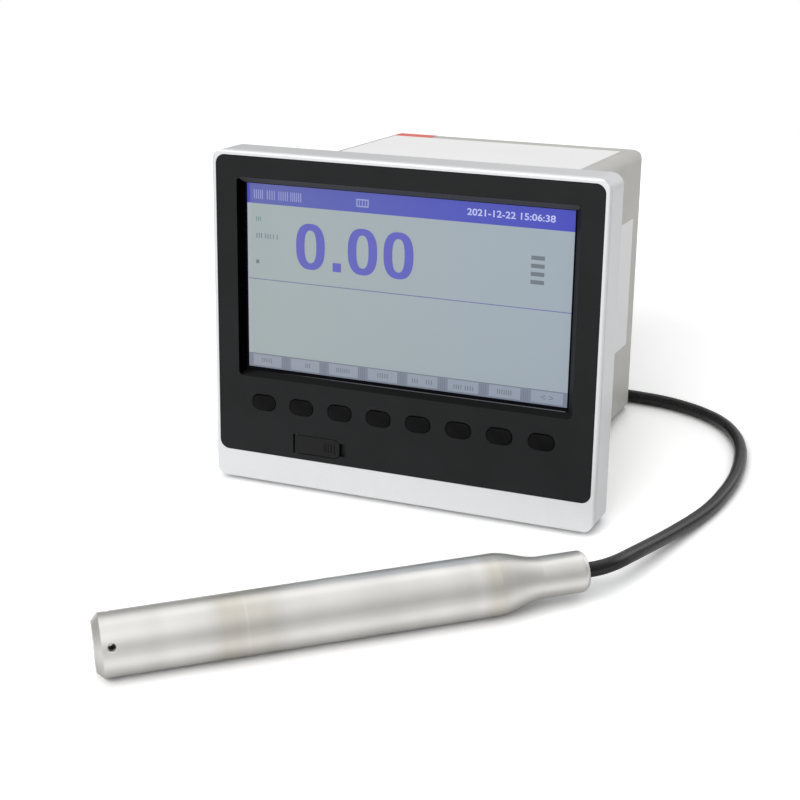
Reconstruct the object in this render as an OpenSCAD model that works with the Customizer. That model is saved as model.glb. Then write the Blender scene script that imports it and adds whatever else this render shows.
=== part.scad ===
// Water level meter: a panel-mount level display that stands on its own case,
// and the stainless submersible level probe that is wired to it.
// Units are millimetres, +Z is up and the display faces -Y.

/* [Front frame] */
// Distance from the screen's picture to the frame's side
side_border = 15.96; // [15:0.1:20]
// Distance from the screen's picture to the frame's top
top_border = 14.74; // [12:0.1:22]
// Height of the wide strip below the black face
strip_h = 13.6; // [12:0.2:20]
// Distance from the strip up to the screen's picture
screen_rise = 40.74; // [38:0.1:50]
// Depth of the frame from its front to its rear face
frame_d = 20; // [18:0.5:26]
// Radius of the frame's outer corners
frame_corner_r = 6; // [4:0.5:8]
// Width of the frame's rim beside and above the black face
rim_w = 1.9; // [1.5:0.1:3]
// Wall between the frame's outside and its inner cavity
frame_wall = 4.5; // [4:0.1:5]
// Thickness of the frame's rear wall, which seats on the panel
rear_wall = 3.2; // [2.5:0.1:4]

/* [Black face] */
// Thickness of the black moulded face
face_t = 3.8; // [3.4:0.1:4.4]
// Radius of the black face's corners
face_corner_r = 4.4; // [3:0.2:6]
// Depth of the window's sloping edge
bevel_d = 3; // [2.5:0.1:3.2]
// Run of the window's sloping edge
bevel_run = 2.6; // [2:0.1:4]

/* [Screen] */
// Width of the screen's picture
screen_w = 154.08; // [130:0.5:180]
// Height of the screen's picture
screen_h = 85.92; // [76:0.5:100]
// Shift of the screen to the right of the frame's middle
screen_x = 0.5; // [-1:0.1:1]
// Border of the display module beside the picture
module_side = 5.46; // [4.5:0.1:6]
// Border of the display module above and below the picture
module_edge = 7.04; // [5:0.1:7.5]
// Thickness of the display module
module_t = 5.7; // [5.2:0.1:6.2]

/* [Keys] */
// Number of keys
key_count = 8; // [4:1:8]
// Width of a key
key_w = 11.4; // [9:0.1:12.6]
// Height of a key
key_h = 6.8; // [6:0.1:8.8]
// Distance from the strip up to the middle of the key row
key_rise = 25.1; // [24.5:0.1:27]
// Stand of a key's crown in front of the face
key_proud = 0.5; // [0.2:0.1:0.9]
// Clearance round a key
key_gap = 0.3; // [0.25:0.05:0.4]
// Travel of a key
key_travel = 0.6; // [0.3:0.05:0.8]

/* [USB door] */
// Length of the door from its hinge to its free end
door_w = 22.2; // [20:0.2:26]
// Height of the door
door_h = 8.6; // [8:0.1:9.6]
// Thickness of the door
door_t = 2; // [1.8:0.1:2.2]
// Hinge axis to the left of the frame's middle
door_x = 51.2; // [40:0.2:60]
// Distance from the strip up to the door's middle
door_rise = 7.4; // [6.8:0.1:8.4]
// Diameter of the hinge pin
door_pin_d = 1.2; // [1:0.05:1.3]
// Width of the finger notch beside the door
notch_w = 2.5; // [2:0.1:4]

/* [Case] */
// Distance from the frame's side to the case's side
case_side = 25.5; // [22:0.5:30]
// Distance from the frame's top to the case's top
case_drop = 7.5; // [6:0.5:14]
// Height of the case's bottom above the frame's bottom
case_z = 13; // [10:0.5:16]
// Distance from the frame's front to the case's rear
case_back = 148; // [130:1:180]
// Radius of the case's long edges
case_edge_r = 6; // [4.5:0.5:8]
// Radius of the case's rear edges
case_rear_r = 4; // [2:0.5:4.5]
// Thickness of the case's wall
case_wall = 2.5; // [2:0.1:3]

/* [Terminals] */
// Spacing of the terminal ways
way_pitch = 5.08; // [4.5:0.01:6]
// Stand of the terminal blocks behind the case
block_out = 11; // [9:0.5:14]
// Height of a terminal block
block_h = 15; // [14:0.5:17]

/* [Probe] */
// Diameter of the probe's body
probe_d = 25; // [24:0.5:28]
// Length of the nose section
nose_l = 57; // [50:1:65]
// Length of the probe from nose to neck end
probe_l = 196; // [180:1:230]
// Diameter of the neck
neck_d = 17; // [15:0.5:18.5]
// Length of the neck
neck_l = 20; // [16:0.5:26]
// Length of the taper between body and neck
taper_l = 18; // [14:0.5:24]
// Wall of the probe's tube
tube_wall = 2; // [1.5:0.1:2.5]
// Chamfer round the nose
nose_chamfer = 2.6; // [1.5:0.1:3]
// Diameter of the pressure ports
port_d = 3; // [2:0.1:4]
// Distance of the pressure ports from the nose's end
port_x = 6.3; // [6:0.1:8]

/* [Layout] */
// Probe nose to the right of the display's middle
probe_x = -49; // [-90:1:0]
// Probe nose in front of the frame
probe_y = -172; // [-220:1:-150]
// Direction in which the probe lies, from +X towards +Y
heading = 38.2; // [20:0.1:50]

/* [Hidden] */

$fn = 64;
eps = 0.01;
cut = 1;

// Outer sizes that follow from the screen and its borders
frame_w = screen_w + 2*side_border;
screen_z = strip_h + screen_rise + screen_h/2;
frame_h = strip_h + screen_rise + screen_h + top_border;
module_w = screen_w + 2*module_side;
module_h = screen_h + 2*module_edge;
module_z = screen_z - 0.3;
key_z = strip_h + key_rise;
key_pitch = screen_w/key_count + 0.08;
door_z = strip_h + door_rise;
case_w = frame_w - 2*case_side;
case_h = frame_h - case_z - case_drop;

// Black face and the pocket that holds it
face_gap = 0.1;
face_w = frame_w - 2*rim_w;
face_z0 = strip_h;
face_z1 = frame_h - rim_w - 0.3;
face_h = face_z1 - face_z0;
face_zc = (face_z0 + face_z1)/2;
ledge_w = 2.5;
cavity_x = frame_w/2 - frame_wall;
cavity_z0 = frame_wall;
cavity_z1 = face_z1 - ledge_w;
frame_edge_r = 1.2;
frame_rear_r = 0.8;
groove_w = 0.5;
groove_d = 0.35;
groove_y = 1.9;

// Window and display module
window_gap = 1.2;
window_gap_top = 0.3;
window_shift = -0.3;
window_r = 0.5;
module_gap = 0.2;
lcd_lip = 0.4;
lcd_opening = window_gap + 0.5;
lcd_y0 = bevel_d;
lcd_y1 = lcd_y0 + module_t;
glass_t = 1.8;
glass_y1 = lcd_y0 + lcd_lip + glass_t;
glass_rim = 1.5;
tray_wall = 0.8;

// Bracket behind the display module, and the posts that hold it
bracket_t = 1;
bracket_y = lcd_y1;
post_gap = 0.55;
post_d = cavity_x - module_w/2 - abs(screen_x) - 2*post_gap;
post_hole = post_d/2;
post_x = (cavity_x + module_w/2)/2;
post_step = module_h/2 - 10;
post_z = [module_z - post_step, module_z, module_z + post_step];
screw_gap = 0.05;

// Keys, their switches and their board
key_flange = 1.5;
key_flange_t = 1;
key_flange_y = face_t + 0.3;
key_slope = 0.25;
key_slope_d = 0.3;
key_corner_r = key_h/2 - 0.3;
key_stem_d = 4;
key_stem_l = 0.9;
switch_gap = key_travel + 0.3;
plunger_l = 0.8;
plunger_d = 3.5;
switch_size = 6;
switch_l = 3.3;
stem_end = key_flange_y + key_flange_t + key_stem_l;
switch_y = stem_end + switch_gap + plunger_l;
board_y = switch_y + switch_l;
board_t = 1.6;
board_z0 = door_z - 12;
board_z1 = key_z + 7.3;
board_w = frame_w - 17;
board_post_d = 4.4;
board_post_x = frame_w/2 - 12.5;
board_post_z = [door_z - 0.8, key_z + 3.3];

// USB door and socket
door_gap = 0.3;
door_corner_r = 2.3;
hinge_y = door_t/2 + 0.1;
barrel_r = door_t/2;
pocket_d = door_t + 0.4;
grip_pitch = 1.6;
grip_w = 0.7;
usb_hole_w = 14.6;
usb_hole_h = 7;
usb_x = -door_x + door_w/2 - 0.1;
usb_collar = door_rise - usb_hole_h/2 - ledge_w - 0.2;
usb_y = face_t + 3.8;
usb_w = 13.1;
usb_h = 5.7;
usb_l = 14;
usb_wall = 0.3;
usb_tongue_t = 1.84;

// Case and what it holds
case_gap = 0.2;
gasket_d = 1.5;
flange_t = 2.2;
flange_y = frame_d - rear_wall - flange_t;
flange_w = case_w + 22;
case_z1 = case_z + case_h;
case_zc = case_z + case_h/2;
flange_z0 = max(case_z - 4, cavity_z0 + 0.3);
flange_z1 = min(case_z1 + 4, cavity_z1 - 0.3);
flange_screw_x = case_w/2 + 6;
flange_screw_d = 2.6;
flange_screw_z = [case_zc - 21, case_zc + 57];
inner_w = case_w - 2*case_wall;
inner_h = case_h - 2*case_wall;
rear_lip = 8;
boss = 9;
boss_in = 7;
panel_t = 2.5;
rail_w = 3;
rail_t = 2;
io_t = 1.6;
io_y0 = frame_d + 26;
io_z = [case_z + 11.4, case_z + 71.4];
main_y = frame_d - 0.5;
main_t = 1.6;
main_w = case_w - 10;
main_h = case_h - 40;
main_zc = case_zc + 12;
stand_x = main_w/2 - 6;
stand_z = main_h/2 - 6;

// Terminal blocks
block_y0 = case_back - 12;
block_y1 = case_back + block_out;
ways = floor((inner_w/2 - 7.5)/way_pitch);
block_w = ways*way_pitch + 1;
block_x = block_w/2 + 1.56;
block_low_x = inner_w/2 - 9.96 - block_w/2;
block_step = 0.66*block_h;
power_ways = 3;
power_pitch = 9.5;
power_w = power_ways*power_pitch + 3;
power_x = power_w/2 + 6.75 - inner_w/2;
entry_size = 3.4;
entry_z = 5;
entry_l = 9;
well_y = block_y1 - 5.4;
well_d = 3.4;
well_z = entry_z + 3;

// Labels and seal
label_t = 0.15;
seal_w = 20;
seal_l = 13.5;
seal_drop = 4.3;

// Lean of the display: it rests on the frame's rear edge and the case's rear edge
rest_a = [frame_d - frame_rear_r, frame_rear_r];
rest_b = [case_back - case_rear_r, case_z + case_rear_r];
rest_v = rest_b - rest_a;
lean = atan2(rest_v[1], rest_v[0]) - asin((case_rear_r - frame_rear_r)/norm(rest_v));
lift = rest_a[0]*sin(lean) - rest_a[1]*cos(lean) + frame_rear_r;
function world_y(y, z) = y*cos(lean) + z*sin(lean);

// Probe sections
taper_steps = 10;
probe_r = probe_d/2;
neck_r = neck_d/2;
neck_round = 3;
taper_x1 = probe_l - neck_l;
taper_x0 = taper_x1 - taper_l;
tail_x = taper_x0 - 3;
spigot_l = 5;
spigot_gap = 0.05;
bore_r = probe_r - tube_wall;
spigot_r = bore_r - spigot_gap;
port_angle = 23;
port_sink = 0.5;
capsule_d = 2*bore_r - 2;
capsule_l = 14;
chamber_d = capsule_d - 5;
chamber_l = 9.6;
front_wall = 2.6;
capsule_gap = 0.1;
oring_t = 1.6;
cable_d = 6.3;
mouth_d = 9;
mouth_l = 6;
bush_d = 12;
bush_l = 12;

// Middle of the display and probe on the floor, where the origin is
probe_reach = (probe_l - neck_round)*cos(heading) + (neck_r - neck_round)*sin(heading) + neck_round;
x_min = -frame_w/2;
x_max = max(frame_w/2, probe_x + probe_reach);
nose_r = probe_r - nose_chamfer;
y_min = probe_y - max(nose_r*cos(heading), probe_r*cos(heading) - nose_chamfer*sin(heading));
y_max = world_y(block_y1, io_z[1] + io_t + block_step);
origin_x = (x_min + x_max)/2;
origin_y = (y_min + y_max)/2;

// Cable route, in the finished frame: from the neck over the floor to the coil
cable_r = cable_d/2;
run_points = [
    [92.3, -48.4, 12.5], [97, -44.7, 12.5], [101.8, -39.8, 12.2], [105.9, -32, 11.4], [109.3, -20, 9.7],
    [112.6, -7.5, 7.9], [116.2, 6, 6.1], [120, 20, 4.7], [123.8, 34, 3.7], [127, 48, 3.2], [129, 62, 3.2],
    [130, 76, 3.2], [129.6, 90, 3.2], [128, 104, 3.2], [124.8, 118, 3.2], [119.4, 131, 3.2],
    [111.4, 142.6, 3.2], [100.6, 151.6, 3.2], [88, 158, 3.2], [74.6, 162, 3.2], [61, 163.6, 3.2],
    [47, 164.8, 3.2], [33, 167.4, 3.2], [19, 170.6, 3.2], [5, 174, 3.2], [-9, 177.6, 3.2], [-23, 181, 3.2]
];
lead_points = [[16.1, 211, 23.5], [16.1, 195, 22.2], [16, 179.5, 18.4]];
core_r = 0.9;
core_points = [
    [[15, 179.5, 18.4], [14.2, 175, 17.7], [13.5, 170.5, 16.8], [13.4, 167.2, 16.4], [13.4, 161.2, 17]],
    [[17, 179.5, 18.4], [17.8, 175, 17.7], [18.4, 170.5, 16.8], [18.5, 167.2, 16.4], [18.5, 161.2, 17]]
];
coil_c = [-34, 233.5];
coil_turn_r = [24.5, 50.1];
coil_layers = 4;
coil_pitch = 6.4;
tie_t = 1.1;
tie_w = 5;
tie_gap = 0.2;
coil_z = tie_t + tie_gap;

frame_colour = [0.86, 0.87, 0.88];
black_colour = [0.14, 0.145, 0.15];
case_colour = [0.72, 0.72, 0.7];
steel_colour = [0.78, 0.78, 0.76];
board_colour = [0.1, 0.35, 0.2];

// Placing of the display's pieces, drawn with the frame's front on y = 0
module on_display() {
    translate([-origin_x, -origin_y, lift]) rotate([-lean, 0, 0]) children();
}

// Placing of the probe's pieces, drawn along +X from the nose
module on_probe() {
    translate([probe_x - origin_x, probe_y - origin_y, probe_r]) rotate([0, 0, heading]) children();
}

module along_x() { rotate([90, 0, 90]) children(); }

// Rectangle with true arcs at its corners
module round_rect(w, h, r) {
    square([w - 2*r, h], center = true);
    square([w, h - 2*r], center = true);
    for (x = [-1, 1], y = [-1, 1]) translate([x*(w/2 - r), y*(h/2 - r)]) circle(r);
}

// Plate that is upright, with its outline in x and z and its thickness in y
module plate(w, h, r, y0, y1, x = 0, z = 0) {
    translate([x, y1, z]) rotate([90, 0, 0]) linear_extrude(y1 - y0) round_rect(w, h, r);
}

module bar(x0, x1, y0, y1, z0, z1) {
    translate([x0, y0, z0]) cube([x1 - x0, y1 - y0, z1 - z0]);
}

// Pin along y
module peg(x, z, d, y0, y1) {
    translate([x, y1, z]) rotate([90, 0, 0]) cylinder(d = d, h = y1 - y0);
}

// Side view outline of a block whose front and rear edges are rounded
module edge_rounded(l, h, r0, r1) {
    translate([r0, 0]) square([l - r0 - r1, h]);
    translate([0, r0]) square([r0, h - 2*r0]);
    for (y = [r0, h - r0]) translate([r0, y]) circle(r0);
    translate([l - r1, r1]) square([r1, h - 2*r1]);
    for (y = [r1, h - r1]) translate([l - r1, y]) circle(r1);
}

// Block with rounded long edges, rounded front edges and rounded rear edges
module soft_block(w, h, r, y0, y1, z0, front_r, rear_r) {
    intersection() {
        plate(w, h, r, y0, y1, 0, z0 + h/2);
        translate([-w/2 - cut, y0, z0]) along_x() linear_extrude(w + 2*cut)
            edge_rounded(y1 - y0, h, front_r, rear_r);
        translate([w/2, y0, z0 - cut]) rotate([0, 0, 90]) linear_extrude(h + 2*cut)
            edge_rounded(y1 - y0, w, front_r, rear_r);
    }
}

module bezel_frame() {
    color(frame_colour) on_display() difference() {
        soft_block(frame_w, frame_h, frame_corner_r, 0, frame_d, 0, frame_edge_r, frame_rear_r);
        plate(face_w, face_h, face_corner_r + 0.1, -cut, face_t, 0, face_zc);
        plate(face_w - 2*ledge_w, face_h - 2*ledge_w, 2, 0, frame_d - rear_wall, 0, face_zc);
        bar(-cavity_x, cavity_x, face_t + ledge_w, frame_d - rear_wall, cavity_z0, cavity_z1);
        plate(case_w + 2*case_gap, case_h + 2*case_gap, case_edge_r, frame_d - rear_wall - cut,
            frame_d + cut, 0, case_zc);
        rim_groove();
        gasket_ring(0, frame_d + cut);
        for (x = [-1, 1], z = flange_screw_z)
            peg(x*flange_screw_x, z, flange_screw_d, frame_d - rear_wall - cut, frame_d - 0.7);
    }
}

// Fine groove round the frame's outside, just behind its front rim
module rim_groove() {
    difference() {
        plate(frame_w + 2, frame_h + 2, frame_corner_r, groove_y, groove_y + groove_w, 0, frame_h/2);
        plate(frame_w - 2*groove_d, frame_h - 2*groove_d, frame_corner_r - groove_d, 0, frame_d,
            0, frame_h/2);
    }
}

// Ring round the case, in the frame's rear face
module gasket_ring(gap, y1) {
    y0 = frame_d - gasket_d;
    difference() {
        plate(case_w + 20 - 2*gap, case_h + 9 - 2*gap, case_edge_r + 3, y0, y1, 0, case_zc);
        plate(case_w + 16 + 2*gap, case_h + 5 + 2*gap, case_edge_r + 1, y0 - cut, y1 + cut, 0, case_zc);
    }
}

module frame_gasket() {
    color([0.1, 0.1, 0.1]) on_display() gasket_ring(0.05, frame_d);
}

// Four-sided funnel of the window, from two crossed prisms
module window_cut() {
    w0 = screen_w + 2*window_gap;
    h0 = screen_h + window_gap + window_gap_top;
    x = screen_x + window_shift;
    z = screen_z + (window_gap_top - window_gap)/2;
    run = bevel_run*(bevel_d + cut)/bevel_d;
    intersection() {
        translate([x - w0/2 - run - cut, 0, z]) along_x() linear_extrude(w0 + 2*run + 2*cut)
            polygon([[-cut, -h0/2 - run], [bevel_d, -h0/2], [bevel_d, h0/2], [-cut, h0/2 + run]]);
        translate([x, 0, z - h0/2 - run - cut]) linear_extrude(h0 + 2*run + 2*cut)
            polygon([[-w0/2 - run, -cut], [-w0/2, bevel_d], [w0/2, bevel_d], [w0/2 + run, -cut]]);
        plate(w0 + 2*bevel_run, h0 + 2*bevel_run, 2.5, -2*cut, face_t, x, z);
    }
    plate(w0, h0, window_r, bevel_d - eps, face_t + cut, x, z);
}

// Slope round a key socket: a cone at each corner and a wedge along each side
module socket_slope() {
    w = key_w + 2*key_gap;
    h = key_h + 2*key_gap;
    r = key_corner_r + key_gap;
    run = key_slope*(key_slope_d + cut)/key_slope_d;
    for (x = [-1, 1], z = [-1, 1])
        translate([x*(w/2 - r), key_slope_d, z*(h/2 - r)]) rotate([90, 0, 0])
            cylinder(r1 = r, r2 = r + run, h = key_slope_d + cut);
    translate([r - w/2, 0, 0]) along_x() linear_extrude(w - 2*r)
        polygon([[-cut, -h/2 - run], [key_slope_d, -h/2], [key_slope_d, h/2], [-cut, h/2 + run]]);
    translate([0, 0, r - h/2]) linear_extrude(h - 2*r)
        polygon([[-w/2 - run, -cut], [-w/2, key_slope_d], [w/2, key_slope_d], [w/2 + run, -cut]]);
}

function key_x(i) = (i - (key_count + 1)/2)*key_pitch;

module face_panel() {
    color(black_colour) on_display() difference() {
        union() {
            plate(face_w - 2*face_gap, face_h - 2*face_gap, face_corner_r, 0, face_t, 0, face_zc);
            for (x = [-1, 1], z = post_z) peg(x*post_x, z, post_d, face_t - eps, bracket_y);
            for (x = [-1, 1], z = board_post_z) peg(x*board_post_x, z, board_post_d, face_t - eps, board_y);
            plate(usb_hole_w + 2*usb_collar, usb_hole_h + 2*usb_collar, 2, face_t - eps, usb_y,
                usb_x, door_z);
        }
        window_cut();
        plate(module_w + 2*module_gap, module_h + 2*module_gap, 0.8, bevel_d, face_t + cut,
            screen_x, module_z);
        for (i = [1:key_count]) {
            plate(key_w + 2*key_gap, key_h + 2*key_gap, key_corner_r + key_gap, -cut, face_t + cut,
                key_x(i), key_z);
            translate([key_x(i), 0, key_z]) socket_slope();
        }
        door_pocket();
        plate(usb_hole_w, usb_hole_h, 0.8, 0, usb_y + cut, usb_x, door_z);
        translate([-door_x, hinge_y, door_z - door_h/2 - 2.2])
            cylinder(d = door_pin_d + 0.04, h = door_h + 4.4);
        for (x = [-1, 1], z = post_z) peg(x*post_x, z, post_hole, face_t + 1, bracket_y + cut);
        for (x = [-1, 1], z = board_post_z)
            peg(x*board_post_x, z, board_post_d/2, face_t + 1, board_y + cut);
    }
}

// Pocket of the USB door, with a finger notch at its free end
module door_pocket() {
    h = door_h + 2*door_gap;
    bar(-door_x - barrel_r - door_gap - 0.1, -door_x + door_w/2, -cut, pocket_d,
        door_z - h/2, door_z + h/2);
    plate(door_w + 2*door_gap - 4, h, door_corner_r + door_gap, -cut, pocket_d,
        -door_x + door_w/2 + 2, door_z);
    plate(notch_w + 3, door_h - 2.4, 1.2, -cut, pocket_d, -door_x + door_w + notch_w/2 - 0.9, door_z);
}

// Domed key with a retaining flange behind the face and a stem to its switch
module key_cap(i) {
    crown = 0.7;
    sphere_r = (pow(key_w/2, 2) + crown*crown)/(2*crown);
    color([0.1, 0.1, 0.105]) on_display() {
        intersection() {
            plate(key_w, key_h, key_corner_r, -key_proud - cut, key_flange_y, key_x(i), key_z);
            translate([key_x(i), sphere_r - key_proud, key_z]) sphere(sphere_r, $fn = 96);
        }
        plate(key_w + 2*key_flange, key_h + 2*key_flange, key_corner_r + key_flange, key_flange_y,
            key_flange_y + key_flange_t, key_x(i), key_z);
        peg(key_x(i), key_z, key_stem_d, key_flange_y + key_flange_t - eps, stem_end);
    }
}

module key_1() { key_cap(1); }
module key_2() { key_cap(2); }
module key_3() { key_cap(3); }
module key_4() { key_cap(4); }
module key_5() { key_cap(5); }
module key_6() { key_cap(6); }
module key_7() { key_cap(7); }
module key_8() { key_cap(8); }

module key_board() {
    color(board_colour) on_display() difference() {
        union() {
            bar(-board_w/2, board_w/2, board_y, board_y + board_t, board_z0, board_z1);
            for (i = [1:key_count]) {
                bar(key_x(i) - switch_size/2, key_x(i) + switch_size/2, switch_y, board_y + eps,
                    key_z - switch_size/2, key_z + switch_size/2);
                peg(key_x(i), key_z, plunger_d, switch_y - plunger_l, switch_y + eps);
            }
        }
        bar(usb_x - usb_w/2 - 0.2, usb_x + usb_w/2 + 0.2, board_y - cut, board_y + board_t + cut,
            door_z - usb_h/2 - 0.2, door_z + usb_h/2 + 0.2);
        for (x = [-1, 1], z = board_post_z)
            peg(x*board_post_x, z, 2.6, board_y - cut, board_y + board_t + cut);
    }
}

// Pan head screw along y, with its head behind y1
module screw(x, z, d, y0, y1, head_d = 4.6, head_t = 1.6) {
    difference() {
        union() {
            peg(x, z, d, y0, y1 + eps);
            peg(x, z, head_d, y1, y1 + head_t);
        }
        for (a = [0, 90]) translate([x, y1 + head_t, z]) rotate([0, a, 0])
            cube([head_d*0.6, 1.6, 0.5], center = true);
    }
}

module board_screws() {
    color(steel_colour) on_display() {
        for (x = [-1, 1], z = board_post_z)
            screw(x*board_post_x, z, board_post_d/2 - screw_gap, face_t + 1.5, board_y + board_t);
        for (x = [-1, 1], z = [-1, 1])
            screw(x*stand_x, main_zc + z*stand_z, 2.55, main_y - 5.5, main_y + main_t);
    }
}

module lcd_frame() {
    color(steel_colour) on_display() difference() {
        plate(module_w, module_h, 0.6, lcd_y0, lcd_y1, screen_x, module_z);
        plate(screen_w + 2*lcd_opening, screen_h + 2*lcd_opening, 0.3, lcd_y0 - cut, lcd_y1 + cut,
            screen_x, screen_z);
        plate(module_w - 2*tray_wall, module_h - 2*tray_wall, 0.3, lcd_y0 + lcd_lip, lcd_y1 + cut,
            screen_x, module_z);
    }
}

module lcd_panel() {
    color([0.62, 0.66, 0.68]) on_display()
        plate(module_w - 2*glass_rim, module_h - 2*glass_rim, 0.3, lcd_y0 + lcd_lip, glass_y1,
            screen_x, module_z);
}

module lcd_backlight() {
    color([0.9, 0.9, 0.88]) on_display()
        plate(module_w - 2*tray_wall - 0.2, module_h - 2*tray_wall - 0.2, 0.3, glass_y1, lcd_y1,
            screen_x, module_z);
}

// Sheet that holds the display module and carries the main board
module lcd_bracket() {
    half_w = cavity_x - 0.5;
    slot_w = module_w/4.85;
    color(steel_colour) on_display() difference() {
        union() {
            plate(2*half_w, module_h - 2, 2, bracket_y, bracket_y + bracket_t, 0, module_z);
            for (x = [-1, 1], z = [-1, 1])
                peg(x*stand_x, main_zc + z*stand_z, 6, bracket_y + bracket_t - eps, main_y);
        }
        for (x = [-1, 1], z = post_z)
            peg(x*post_x, z, post_hole + 0.4, bracket_y - cut, bracket_y + bracket_t + cut);
        for (x = [-1, 0, 1])
            plate(slot_w, module_h*0.54, 4, bracket_y - cut, bracket_y + bracket_t + cut,
                1.3*x*slot_w, module_z);
        for (x = [-1, 1], z = [-1, 1]) peg(x*stand_x, main_zc + z*stand_z, 2.6, main_y - 6, main_y + cut);
    }
}

module lcd_screws() {
    color(steel_colour) on_display() for (x = [-1, 1], z = post_z)
        screw(x*post_x, z, post_hole - screw_gap, face_t + 1.5, bracket_y + bracket_t, 4.4);
}

// Door with a barrel on the hinge pin and a grip near its free end
module usb_door() {
    color([0.12, 0.125, 0.13]) on_display() difference() {
        union() {
            plate(door_w - 4, door_h, door_corner_r, hinge_y - door_t/2, hinge_y + door_t/2,
                -door_x + door_w/2 + 2, door_z);
            bar(-door_x, -door_x + door_w/2, hinge_y - door_t/2, hinge_y + door_t/2,
                door_z - door_h/2, door_z + door_h/2);
            translate([-door_x, hinge_y, door_z - door_h/2]) cylinder(r = barrel_r, h = door_h);
        }
        translate([-door_x, hinge_y, door_z - door_h/2 - cut])
            cylinder(d = door_pin_d + 0.1, h = door_h + 2*cut);
        for (i = [0:3]) translate([-door_x + door_w - 7.4 + grip_pitch*i, 0, 0])
            bar(0, grip_w, -cut, hinge_y - door_t/2 + 0.3,
                door_z - door_h/2 + 2.2, door_z + door_h/2 - 2.2);
    }
}

module usb_door_pin() {
    color(steel_colour) on_display() translate([-door_x, hinge_y, door_z - door_h/2 - 2.1])
        cylinder(d = door_pin_d, h = door_h + 4.2);
}

module usb_socket() {
    color(steel_colour) on_display() {
        difference() {
            plate(usb_w, usb_h, 0.6, usb_y, usb_y + usb_l, usb_x, door_z);
            plate(usb_w - 2*usb_wall, usb_h - 2*usb_wall, 0.3, usb_y - cut, usb_y + usb_l - 2,
                usb_x, door_z);
        }
        plate(usb_w - 2, usb_tongue_t, 0.2, usb_y + 1, usb_y + usb_l - 2 + eps, usb_x, door_z + 1);
    }
}

// Moulded case with a front flange, board rails and a recess for the rear panel
module case_shell() {
    lip_y = case_back - rear_lip;
    color(case_colour) on_display() difference() {
        union() {
            soft_block(case_w, case_h, case_edge_r, flange_y, case_back, case_z, 0.5, case_rear_r);
            plate(flange_w, flange_z1 - flange_z0, 3, flange_y, flange_y + flange_t,
                0, (flange_z0 + flange_z1)/2);
        }
        difference() {
            plate(inner_w, inner_h, case_edge_r - case_wall, flange_y - cut, lip_y, 0, case_zc);
            for (z = io_z, s = [-1, 1]) {
                rail(s, z - rail_t);
                rail(s, z + io_t + case_gap);
            }
        }
        difference() {
            plate(inner_w - 8, inner_h - 8, 2, lip_y - cut, case_back + cut, 0, case_zc);
            corners() plate(boss, boss, 1, lip_y, case_back + cut);
        }
        plate(case_w - 9, case_h - 9, 3, case_back - panel_t, case_back + cut, 0, case_zc);
        for (x = [-1, 1], z = flange_screw_z)
            peg(x*flange_screw_x, z, flange_screw_d + 0.6, flange_y - cut, flange_y + flange_t + cut);
        corners() peg(0, 0, 2.2, lip_y + 0.5, case_back);
    }
}

// Four places near the corners of the rear panel
module corners() {
    for (x = [-1, 1], z = [-1, 1])
        translate([x*(case_w/2 - boss_in), 0, case_zc + z*(case_h/2 - boss_in)]) children();
}

module rail(side, z) {
    translate([side*(inner_w/2 - rail_w/2 + eps), (io_y0 + case_back - rear_lip)/2, z + rail_t/2])
        cube([rail_w, case_back - rear_lip - io_y0 + 2*cut, rail_t], center = true);
}

module case_screws() {
    color(steel_colour) on_display() for (x = [-1, 1], z = flange_screw_z)
        mirror([0, 1, 0]) translate([0, -2*flange_y, 0])
            screw(x*flange_screw_x, z, flange_screw_d - screw_gap, flange_y - flange_t - rear_wall + 1,
                flange_y);
}

module main_board() {
    y = main_y + main_t;
    color(board_colour) on_display() difference() {
        union() {
            bar(-main_w/2, main_w/2, main_y, y, main_zc - main_h/2, main_zc + main_h/2);
            plate(28, 28, 0.4, y - eps, y + 1.6, -main_w*0.2, main_zc + main_h*0.07);
            plate(20, 20, 0.4, y - eps, y + 1.6, main_w*0.18, main_zc + main_h*0.17);
            plate(16, 10, 0.4, y - eps, y + 2, main_w*0.24, main_zc - main_h*0.22);
            plate(12, 12, 0.4, y - eps, y + 9, -main_w*0.3, main_zc - main_h*0.28);
        }
        for (x = [-1, 1], z = [-1, 1]) peg(x*stand_x, main_zc + z*stand_z, 3, main_y - cut, y + cut);
    }
}

// Horizontal board that slides in the case's rails and carries the terminals
module io_board(z) {
    w = inner_w - 2*case_gap;
    color(board_colour) on_display() bar(-w/2, w/2, io_y0, case_back - rear_lip - case_gap, z, z + io_t);
}

module board_lower() {
    z = io_z[0] + io_t - eps;
    x1 = inner_w/2 - 10.5;
    io_board(io_z[0]);
    color(board_colour) on_display() {
        for (i = [0:2]) translate([x1 - 6 - 14*i, case_back - 30, z]) cylinder(d = 10, h = 16);
        bar(x1 - 44, x1, io_y0 + 14, io_y0 + 34, z, z + 3);
    }
}

module board_upper() {
    pitch = (inner_w - 18)/6;
    z = io_z[1] + io_t - eps;
    io_board(io_z[1]);
    color(board_colour) on_display() for (i = [0:5]) translate([10.5 - inner_w/2 + pitch*i, 0, 0])
        bar(0, pitch - 3.5, case_back - 44, case_back - 24, z, z + 15);
}

module power_module() {
    x0 = 6.5 - inner_w/2;
    y0 = io_y0 + 6;
    z = io_z[0] + io_t;
    h = 28;
    color([0.75, 0.75, 0.72]) on_display() difference() {
        bar(x0, -8, y0, case_back - 26, z, z + h);
        for (i = [0:6]) bar(x0 + 8, -16, y0 + 6 + 9*i, y0 + 10 + 9*i, z + h - 2, z + h + cut);
    }
}

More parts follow.
